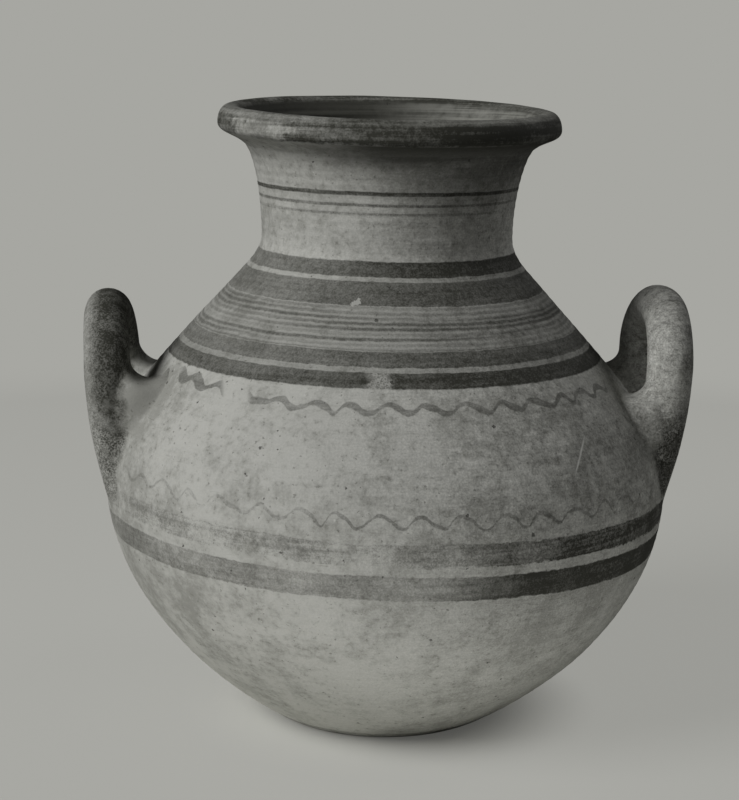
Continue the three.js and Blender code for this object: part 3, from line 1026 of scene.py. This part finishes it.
def lump_of_clay(name, size, side, across, height):
    """A lump of clay pressed behind a leg."""
    spot = (side * wall_reach(height), across, height)
    bpy.ops.object.select_all(action="DESELECT")
    bpy.ops.mesh.primitive_uv_sphere_add(segments=40, ring_count=24, radius=0.5, location=spot)
    lump = bpy.context.object
    lump.name = name
    lump.scale = Vector(size) * MM
    bpy.ops.object.transform_apply(location=True, rotation=True, scale=True)
    return lump


def press_finger(lump, side, across, leg, height):
    """Hollows a lump as a finger does that slides down the inner side of a leg."""
    reach = side * (abs(crossing(leg, height).x) - (ROLL_RADIUS + FINGER_RADIUS) * MM)
    bpy.ops.object.select_all(action="DESELECT")
    bpy.ops.mesh.primitive_cylinder_add(
        vertices=48, radius=FINGER_RADIUS * MM, depth=FINGER_LENGTH * MM,
        location=(reach, across, height), rotation=(math.pi / 2, 0, 0),
    )
    finger = bpy.context.object
    cut(lump, finger)
    bpy.ops.object.select_all(action="DESELECT")
    bpy.ops.mesh.primitive_cube_add(
        size=FINGER_LENGTH * MM, location=(reach, across, height + FINGER_LENGTH * MM / 2)
    )
    hand = bpy.context.object
    cut(lump, hand)
    put_away(finger, hand)


def keep_whole(piece):
    """Keeps the body of a piece and drops the crumbs that a cut leaves."""
    far = max(piece.data.vertices, key=lambda vertex: abs(vertex.co.x)).index
    only_select(piece)
    bpy.ops.object.mode_set(mode="EDIT")
    bpy.ops.mesh.select_mode(type="VERT")
    bpy.ops.mesh.select_all(action="DESELECT")
    bpy.ops.object.mode_set(mode="OBJECT")
    piece.data.vertices[far].select = True
    bpy.ops.object.mode_set(mode="EDIT")
    bpy.ops.mesh.select_linked()
    bpy.ops.mesh.select_all(action="INVERT")
    bpy.ops.mesh.delete(type="VERT")
    bpy.ops.mesh.select_all(action="SELECT")
    bpy.ops.mesh.dissolve_degenerate(threshold=DOUBLES)
    bpy.ops.object.mode_set(mode="OBJECT")
    only_select(piece)
    bpy.ops.object.shade_smooth_by_angle(angle=SHARP)


filled_jar = turn_on_wheel("filled_jar", [at(0, 0), *outside, at(0, SEAT_HEIGHT)])


def lute_handle(word, side, lift, droop, lute_heights):
    """A loop handle and the clay behind its legs, worked into one with the wall, then parted."""
    knots = loop_knots(side, lift, droop)
    (foot, spring), (last_spring, last_foot) = knots[:2], knots[-2:]
    first = interpolate_bezier(foot[1], foot[2], spring[0], spring[1], LEG_POINTS)
    last = interpolate_bezier(
        last_foot[1], last_foot[0], last_spring[2], last_spring[1], LEG_POINTS
    )
    legs = (first, last)[::side]
    line = [
        point
        for start, end in zip(knots, knots[1:])
        for point in interpolate_bezier(start[1], start[2], end[0], end[1], LINE_POINTS)
    ]
    roll = bend_roll("roll", knots, ROLL_RADIUS)
    low, high = PATCH_LOW * MM, PATCH_HIGH * MM
    face = between(set_in(template, lambda point: PATCH_UNDER * MM), low, high)
    back = between(set_in(template, lambda point: PATCH_DEPTH * MM), low, high)
    patch = turn_on_wheel("wall_patch", [*face, *reversed(back), face[0]])
    bpy.ops.object.mode_set(mode="EDIT")
    bpy.ops.mesh.select_all(action="SELECT")
    bpy.ops.mesh.bisect(
        plane_co=(side * PATCH_REACH * MM, 0, 0), plane_no=(side, 0, 0),
        use_fill=True, clear_inner=True,
    )
    bpy.ops.object.mode_set(mode="OBJECT")
    lumps, beds = [], []
    spread = (-LEG_SPREAD * MM, LEG_SPREAD * MM)
    for across, leg, (middle, hollow) in zip(spread, legs, lute_heights):
        bed = lump_of_clay("bed", BED_SIZE, side, across, middle * MM)
        cut(bed, roll)
        beds.append(bed)
        lump = lump_of_clay("lump", LUTE_SIZE, side, across, middle * MM)
        press_finger(lump, side, across, leg, hollow * MM)
        lumps.append(lump)
    worked = copy_of(roll, "handle_" + word + "_roll")
    only_select(worked, patch, *lumps)
    bpy.ops.object.join()
    finish_with(worked, "REMESH", mode="VOXEL", voxel_size=VOXEL * MM)
    tree = kdtree.KDTree(len(line))
    for index, point in enumerate(line):
        tree.insert(point, index)
    tree.balance()
    near = worked.vertex_groups.new(name="near the join")
    radii = [crossing(template, height * MM).x for height in range(math.floor(SEAT_HEIGHT))]
    for vertex in worked.data.vertices:
        spot = vertex.co
        out = math.hypot(spot.x, spot.y) - radii[round(spot.z / MM)]
        beside = tree.find(spot)[2] - ROLL_RADIUS * MM
        on_roll = 1 - share_of(abs(beside), BLEND_ON_WALL * MM)
        on_wall = 1 - share_of(out, BLEND_ON_ROLL * MM)
        on_lump = share_of(min(out, beside), BLEND_ON_LUMP * MM)
        near.add([vertex.index], max(on_roll * on_wall, on_lump), "REPLACE")
    finish_with(
        worked, "SMOOTH", factor=SMOOTHING, iterations=SMOOTHING_ROUNDS, vertex_group=near.name
    )
    cut(worked, filled_jar)
    keep_whole(worked)
    made = [worked]
    for bed, end in zip(beds, ("front", "back")):
        lute = copy_of(worked, "lute_" + word + "_" + end + "_clay")
        cut(lute, bed, "INTERSECT")
        cut(worked, bed)
        made.append(lute)
    put_away(roll, *beds)
    for piece in made:
        keep_whole(piece)
    return made


handle_right, *lutes_right = lute_handle("right", 1, *RIGHT_SET, RIGHT_LUTES)
handle_left, *lutes_left = lute_handle("left", -1, *LEFT_SET, LEFT_LUTES)
put_away(filled_jar)


ARCH_TO_LEGS = (0.212, 0.172)
ARCH_ALONE = (0.212, 0.225)
STRIPE_FOOT = (0.139, 0.150)
STRIPE_PATCH = (75.0, 6.0, 0.65)
STRIPE_SPILL = 6
STRIPE_FRAY = 5 * MM


def handle_finish(name, side, high, low):
    """Slip under rubbed dark paint, its cover by the way the roll faces on arch and legs: partly
    painted shade.
    """
    material, mix, place, normal = start_finish(name)
    skin = slip_skin(mix, place)
    worn = mix.use(paint_film, {"Place": place})
    x, y, z = mix.parts(place)
    patches = mix.ramp(mix.noise(place, *STRIPE_PATCH), 0.32, 0.68, -0.5, 0.5)
    # paint cover follows the way the roll faces: partly real paint, partly painted shade and light
    faces = mix.weighed((mix.parts(normal)[0], float(side)), (patches, 0.5))
    down = mix.ramp(z, *ARCH_TO_LEGS)
    on_arch = mix.times(mix.ramp(faces, *high), mix.rest_of(down))
    stripe_and_shade = mix.plus(on_arch, mix.times(mix.ramp(faces, *low), down))
    specks = mix.times(mix.about_zero(worn["Speckle"]), mix.ramp(down, 0.0, 1.0, 0.42, 0.85))
    cover = mix.plus(stripe_and_shade, specks, mix.times(patches, 0.4))
    cover = mix.add("ShaderNodeClamp", {"Value": cover}).outputs[0]
    leg = {"Value": z, "From Min": FOOT_HEIGHT * MM, "From Max": SPRING_HEIGHT * MM}
    climb = mix.add("ShaderNodeMapRange", leg).outputs[0]
    bow = mix.times(climb, mix.rest_of(climb), LEG_BOW * MM)
    axis = mix.plus(mix.times(climb, (SPRING_REACH - FOOT_REACH) * MM), bow, FOOT_REACH * MM)
    off_x = mix.sum("SUBTRACT", mix.sum("ABSOLUTE", x), axis)
    off_y = mix.plus(mix.sum("ABSOLUTE", y), -LEG_SPREAD * MM)
    frayed = mix.weighed((patches, STRIPE_FRAY), (worn["Wobble"], 2.0))
    beside = mix.plus(mix.distance(off_x, off_y), frayed)
    on_roll = mix.ramp(beside, (ROLL_RADIUS + STRIPE_SPILL) * MM, ROLL_RADIUS * MM)
    on_roll = mix.most(on_roll, mix.ramp(z, *ARCH_ALONE))
    stripe_and_shade = mix.times(cover, on_roll, mix.ramp(z, *STRIPE_FOOT))
    painted = mix.most(stripe_and_shade, mix.use(belly_paint, {"Place": place})["Mask"])
    end_finish(material, mix, mix.blend(painted, skin["Colour"], DARK_PAINT), skin)
    return material


right_stripe_and_shade = handle_finish(
    "Rubbed stripe right", 1, (0.2, 1.1, 0.10, 0.44), (-0.3, 0.5, 0.25, 0.9)
)
left_stripe_and_shade = handle_finish(
    "Rubbed stripe left", -1, (0.9, 0.2, 0.30, 0.88), (0.9, -0.2, 0.42, 0.66)
)
for word, material, handle, lutes in (
    ("right", right_stripe_and_shade, handle_right, lutes_right),
    ("left", left_stripe_and_shade, handle_left, lutes_left),
):
    nodes = ["handle_" + word, "lute_" + word + "_front", "lute_" + word + "_back"]
    slots = ["handle_paint", "lute_clay", "lute_clay"]
    for piece, node, slot in zip((handle, *lutes), nodes, slots):
        set_on(piece, node, material)


# Drying and firing. The clay moved a little as it dried and was fired: the wall is not quite round,
# the shoulder leans to one side and the rim tips forward. All pieces but the base disc moved
# together.

LEAN = (
    (0, 0), (50, 0.012), (106, 0.02), (160, 0.02),
    (220, 0.024), (275, 0.024), (330, 0.018), (400, 0.0166),
)
TIP = ((0, 0), (300, 0), (330, 0.005), (355, 0.0385), (400, 0.0385))
SWAY = ((0, 0), (300, 0), (350, 0.9), (400, 0.9))
SLACK = 1.5
SLACK_SIZE = 0.085
STILL_BELOW = 6
LOOSE_ABOVE = 45
CAGE_SIZE = (0.5, 0.5, 0.4)
CAGE_MIDDLE = 0.19
CAGE_LEVELS = 25


def along_height(steps, height):
    """A value between the steps of a list of heights, in millimetres, and values."""
    for (low, first), (high, second) in zip(steps, steps[1:]):
        if low <= height <= high:
            return first + (second - first) * (height - low) / (high - low)
    return steps[0][1]


bpy.ops.object.select_all(action="DESELECT")
bpy.ops.object.add(type="LATTICE", location=(0, 0, CAGE_MIDDLE))
cage = bpy.context.object
cage.scale = CAGE_SIZE
cage.data.points_u = 2
cage.data.points_v = 2
cage.data.points_w = CAGE_LEVELS
for way in "uvw":
    setattr(cage.data, "interpolation_type_" + way, "KEY_LINEAR")
bpy.context.view_layer.update()
for point in cage.data.points:
    spot = cage.matrix_world @ point.co
    lift = along_height(TIP, spot.z / MM) * spot.y - along_height(LEAN, spot.z / MM) * spot.x
    sway = along_height(SWAY, spot.z / MM) * MM
    point.co_deform = point.co + Vector((sway / CAGE_SIZE[0], 0, lift / CAGE_SIZE[2]))

unevenness = bpy.data.textures.new("uneven clay", "CLOUDS")
unevenness.cloud_type = "COLOR"
unevenness.noise_scale = SLACK_SIZE
for piece in (
    lower_body, upper_body, neck, lip, handle_right, handle_left, *lutes_right, *lutes_left,
):
    loose = piece.vertex_groups.new(name="loose")
    for vertex in piece.data.vertices:
        free = share_of(vertex.co.z / MM - STILL_BELOW, LOOSE_ABOVE - STILL_BELOW)
        loose.add([vertex.index], free, "REPLACE")
    finish_with(
        piece, "DISPLACE", texture=unevenness, texture_coords="LOCAL", direction="RGB_TO_XYZ",
        strength=SLACK * MM, mid_level=0.5, vertex_group=loose.name,
    )
    finish_with(piece, "LATTICE", object=cage)
put_away(cage)


# Studio. A pale floor that keeps the jar's shadow and fades into an even background, one wide soft
# lamp from the front left, a weak one from behind, the light of a pale table, and the camera.

FLOOR_SIZE = 24
NEAR_FLOOR = 0.45
FAR_FLOOR = 1.3
TABLE_NEAR = 0.25
TABLE_FAR = 0.5
FLOOR_COLOUR = (0.72, 0.72, 0.68, 1)
TABLE_COLOUR = (0.85, 0.85, 0.80, 1)
BEYOND_COLOUR = (0.05, 0.05, 0.047, 1)
BACKGROUND = (0.386, 0.386, 0.361, 1)
FILL_COLOUR = (0.03, 0.03, 0.028, 1)
SHADOW_NEAR = 0.07
SHADOW_FAR = 0.14
SHADOW_EVENNESS = 0.2
FLOOR_EVENNESS = 0.8
FLOOR_ROUGHNESS = 0.9
FLOOR_SHEEN = 0.1
LAMP_PLACE = (-2.0, -1.2, 1.7)
LAMP_AIM = (0, 0, 0.2)
LAMP_SIZE = 1.5
LAMP_POWER = 62
RIM_PLACE = (1.5, 0.45, 1.3)
RIM_SIZE = 1.2
RIM_POWER = 6
CARD_PLACE = (0.04, -0.31, 0.004)
CARD_SIZE = (0.5, 0.25)
CARD_POWER = 0.28
CAMERA_PLACE = (-0.0685, -1.1207, 0.4128)
CAMERA_AIM = (-0.00998, 0.00061, 0.1941)
CAMERA_ROLL = math.radians(0.45)
CAMERA_SENSOR = 36
CAMERA_LENS = 83.03

bpy.ops.object.select_all(action="DESELECT")
bpy.ops.mesh.primitive_circle_add(vertices=96, radius=FLOOR_SIZE / 2, fill_type="NGON")
studio_floor = bpy.context.object
studio_floor.name = "studio_floor"
material, mix, place, _ = start_finish("Studio floor")
distance = mix.vector("LENGTH", place)[1]
shader = material.node_tree.nodes["Principled BSDF"]
seen = mix.add("ShaderNodeLightPath").outputs["Is Camera Ray"]
table = mix.blend(mix.ramp(distance, TABLE_NEAR, TABLE_FAR), TABLE_COLOUR, BEYOND_COLOUR)
mix.feed(shader.inputs["Base Color"], mix.blend(seen, table, FLOOR_COLOUR))
shader.inputs["Roughness"].default_value = FLOOR_ROUGHNESS
shader.inputs["Specular IOR Level"].default_value = FLOOR_SHEEN
even = mix.add("ShaderNodeEmission", {"Color": BACKGROUND, "Strength": 1.0})
near = mix.ramp(distance, SHADOW_NEAR, SHADOW_FAR, SHADOW_EVENNESS, FLOOR_EVENNESS)
far = mix.times(mix.most(near, mix.ramp(distance, NEAR_FLOOR, FAR_FLOOR)), seen)
joined = mix.add("ShaderNodeMixShader", {0: far, 1: shader.outputs[0], 2: even.outputs[0]})
mix.feed(material.node_tree.nodes["Material Output"].inputs["Surface"], joined.outputs[0])
studio_floor.data.materials.append(material)

world = bpy.data.worlds.new("Studio air")
bpy.context.scene.world = world
world.use_nodes = True
mix = Recipe(world.node_tree)
seen = mix.add("ShaderNodeLightPath").outputs["Is Camera Ray"]
fill = world.node_tree.nodes["Background"]
fill.inputs["Color"].default_value = FILL_COLOUR
behind = mix.add("ShaderNodeBackground", {"Color": BACKGROUND, "Strength": 1.0})
joined = mix.add("ShaderNodeMixShader", {0: seen, 1: fill.outputs[0], 2: behind.outputs[0]})
mix.feed(world.node_tree.nodes["World Output"].inputs["Surface"], joined.outputs[0])

for place, size, power in ((LAMP_PLACE, LAMP_SIZE, LAMP_POWER), (RIM_PLACE, RIM_SIZE, RIM_POWER)):
    bpy.ops.object.light_add(type="AREA", location=place)
    lamp = bpy.context.object
    lamp.rotation_euler = (Vector(LAMP_AIM) - Vector(place)).to_track_quat("-Z", "Y").to_euler()
    lamp.data.shape = "DISK"
    lamp.data.size = size
    lamp.data.energy = power
    lamp.visible_camera = False
bpy.ops.object.light_add(type="AREA", location=CARD_PLACE, rotation=(math.pi, 0, 0))
card = bpy.context.object
card.data.shape = "RECTANGLE"
card.data.size, card.data.size_y = CARD_SIZE
card.data.energy = CARD_POWER
card.visible_camera = False

bpy.ops.object.camera_add(location=CAMERA_PLACE)
camera = bpy.context.object
look = (Vector(CAMERA_AIM) - Vector(CAMERA_PLACE)).to_track_quat("-Z", "Y")
camera.rotation_euler = look.to_euler()
bpy.context.view_layer.update()
camera.rotation_euler.rotate_axis("Z", CAMERA_ROLL)
camera.data.sensor_fit = "VERTICAL"
camera.data.sensor_height = CAMERA_SENSOR
camera.data.lens = CAMERA_LENS
bpy.context.scene.camera = camera
bpy.context.scene.view_settings.view_transform = "Standard"

bpy.context.view_layer.update()
